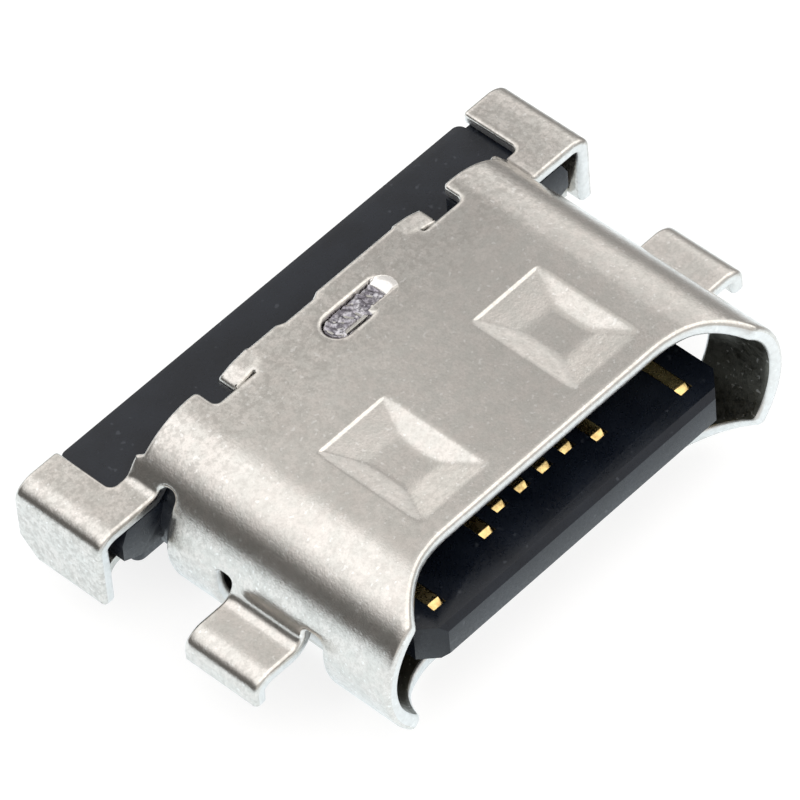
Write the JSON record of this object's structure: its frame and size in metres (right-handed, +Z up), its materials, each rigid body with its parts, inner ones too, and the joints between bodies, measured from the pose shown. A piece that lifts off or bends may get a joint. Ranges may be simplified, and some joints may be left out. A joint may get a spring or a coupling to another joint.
{
  "type": "charging port connector",
  "caption": "Reversible charging port for a circuit board: a stamped steel shell with bent legs round a moulded housing, whose tongue carries gilt contacts above and below.",
  "frame": {"origin": "bottom centre of the bounding box, on the shell's flat underside", "axes": "+X along the mouth's width, -Y out of the mouth, +Z up from the shell's flat underside"},
  "size_m": [0.011, 0.007, 0.0031],
  "materials": {
    "nickel_steel": "satin nickel plate with a fine sandy grain",
    "plain_steel": "rolled stainless sheet",
    "black_resin": "glass-filled moulded resin",
    "contact_gilt": "gold flash over nickel"
  },
  "bodies": {
    "root": {"shell": "nickel_steel", "housing": "black_resin", "upper_terminal_block": "black_resin", "lower_terminal_block": "black_resin", "mid_plate": "plain_steel", "upper_ground_collar": "plain_steel", "lower_ground_collar": "plain_steel", "upper_contact_1": "contact_gilt", "upper_contact_2": "contact_gilt", "upper_contact_3": "contact_gilt", "upper_contact_4": "contact_gilt", "upper_contact_5": "contact_gilt", "upper_contact_6": "contact_gilt", "upper_contact_7": "contact_gilt", "upper_contact_8": "contact_gilt", "lower_contact_1": "contact_gilt", "lower_contact_2": "contact_gilt", "lower_contact_3": "contact_gilt", "lower_contact_4": "contact_gilt", "lower_contact_5": "contact_gilt", "lower_contact_6": "contact_gilt", "lower_contact_7": "contact_gilt", "lower_contact_8": "contact_gilt"}
  },
  "joints": []
}
